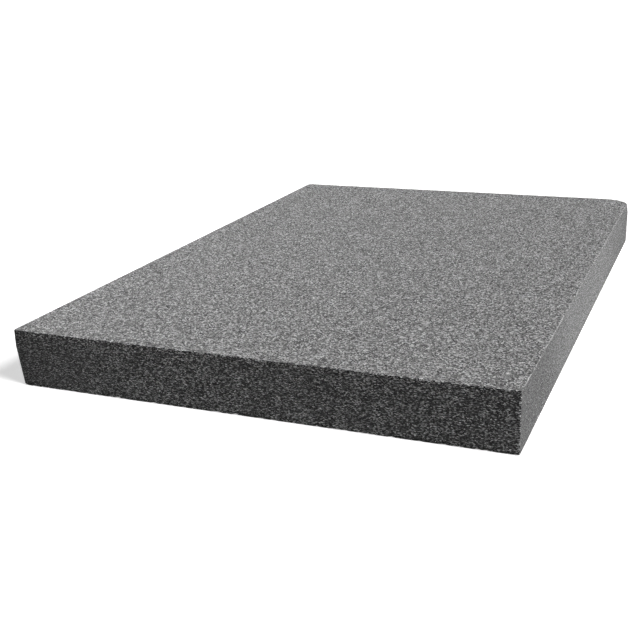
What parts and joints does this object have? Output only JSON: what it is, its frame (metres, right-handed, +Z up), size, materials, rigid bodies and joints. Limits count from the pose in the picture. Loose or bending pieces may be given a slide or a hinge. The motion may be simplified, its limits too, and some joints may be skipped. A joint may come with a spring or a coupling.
{
  "type": "polyethylene foam sheet",
  "caption": "Flat rectangular sheet of charcoal grey closed-cell polyethylene foam, knife-cut, with worn corners, for lining, padding and cutting inserts.",
  "frame": {"origin": "middle of the broad lower face that the sheet lies on", "axes": "+X along the short front edge to the right, +Y along the long side away from the front, +Z up through the thickness"},
  "size_m": [0.4, 0.6, 0.046],
  "materials": {
    "foam": "charcoal grey closed-cell foam, knife-cut, with open cells flecked light and dark"
  },
  "bodies": {
    "root": {"foam_sheet": "foam"}
  },
  "joints": []
}
